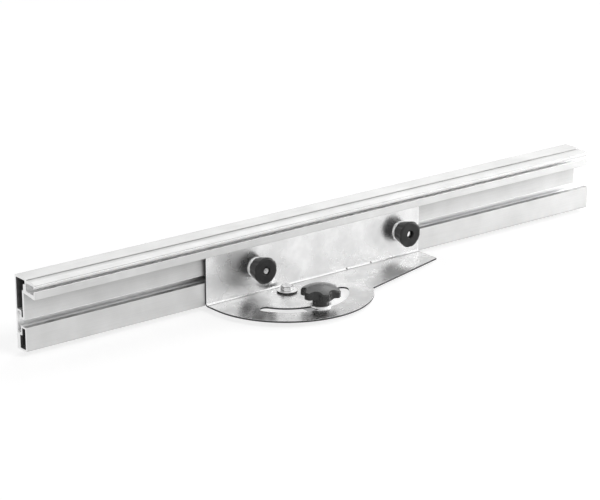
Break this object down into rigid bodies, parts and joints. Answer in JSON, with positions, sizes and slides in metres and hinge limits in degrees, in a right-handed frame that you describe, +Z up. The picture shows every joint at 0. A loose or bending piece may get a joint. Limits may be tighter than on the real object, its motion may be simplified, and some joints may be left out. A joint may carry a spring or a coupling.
{
  "type": "miter gauge",
  "caption": "Table mitre gauge: a long extruded fence with a stop track and T-slot, on a bent sheet bracket that turns on a slot runner and locks with a star knob.",
  "frame": {"origin": "on the pivot axis, at the underside of the bracket's plate, which is the table's surface", "axes": "+X along the fence to the right as seen from the knobs, +Y towards the work and along the table slot, +Z up"},
  "size_m": [0.84, 0.141, 0.0905],
  "materials": {
    "aluminium_extrusion": "mill finish, satin",
    "zinc_sheet": "bright zinc plated, glossy",
    "zinc_steel": "bright zinc plated",
    "steel_bar": "cold drawn, plain",
    "black_plastic": "fine moulded grain"
  },
  "bodies": {
    "runner": {"table_runner": "steel_bar", "pivot_bolt": "zinc_steel", "pivot_washer": "zinc_steel", "pivot_bush": "zinc_steel", "star_washer": "zinc_steel"},
    "bracket": {"mitre_bracket": "zinc_sheet", "clamp_bolt_left": "zinc_steel", "clamp_bolt_right": "zinc_steel", "clamp_washer_left": "zinc_steel", "clamp_washer_right": "zinc_steel"},
    "fence": {"fence_extrusion": "aluminium_extrusion"},
    "left_knob": {"clamp_knob_left": "black_plastic", "knob_insert_left": "zinc_steel"},
    "right_knob": {"clamp_knob_right": "black_plastic", "knob_insert_right": "zinc_steel"},
    "star": {"star_knob": "black_plastic", "star_stud": "zinc_steel"}
  },
  "joints": [
    {"name": "mitre_turn", "type": "hinge", "parent": "runner", "child": "bracket", "pos_m": [0, 0, 0], "axis": [0, 0, 1], "range_deg": [-60, 60]},
    {"name": "fence_slide", "type": "slide", "parent": "bracket", "child": "fence", "axis": [1, 0, 0], "range_m": [-0.275, 0.29]},
    {"name": "left_knob_turn", "type": "hinge", "parent": "bracket", "child": "left_knob", "pos_m": [-0.0286, 0.01, 0.0323], "axis": [0, -1, 0], "range_deg": [0, 360]},
    {"name": "right_knob_turn", "type": "hinge", "parent": "bracket", "child": "right_knob", "pos_m": [0.188, 0.01, 0.0323], "axis": [0, -1, 0], "range_deg": [0, 360]},
    {"name": "star_knob_turn", "type": "hinge", "parent": "runner", "child": "star", "pos_m": [0, -0.062, 0], "axis": [0, 0, 1], "range_deg": [0, 360]}
  ]
}
